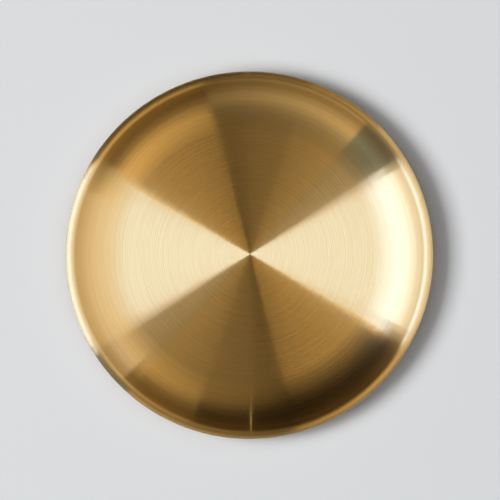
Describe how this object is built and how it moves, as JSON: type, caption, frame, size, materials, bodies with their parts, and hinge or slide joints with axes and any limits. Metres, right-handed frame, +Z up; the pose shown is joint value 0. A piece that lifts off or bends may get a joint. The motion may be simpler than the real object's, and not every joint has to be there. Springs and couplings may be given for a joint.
{
  "type": "shallow plate",
  "caption": "Shallow round serving plate of brushed gold-coloured sheet steel, with a flat base, a curved wall and an edge rolled round a wire.",
  "frame": {"origin": "middle of the flat underside, on the surface that the plate stands on", "axes": "+Z up along the plate's axis; X and Y in the plane of the table, free to turn because the plate is round"},
  "size_m": [0.17, 0.17, 0.012],
  "materials": {
    "gold_sheet": "stainless sheet brushed in circles on the spindle, then coated gold",
    "drawn_wire": "bare drawn steel wire with fine lines along its length"
  },
  "bodies": {
    "root": {"dish": "gold_sheet", "rim_wire": "drawn_wire"}
  },
  "joints": []
}
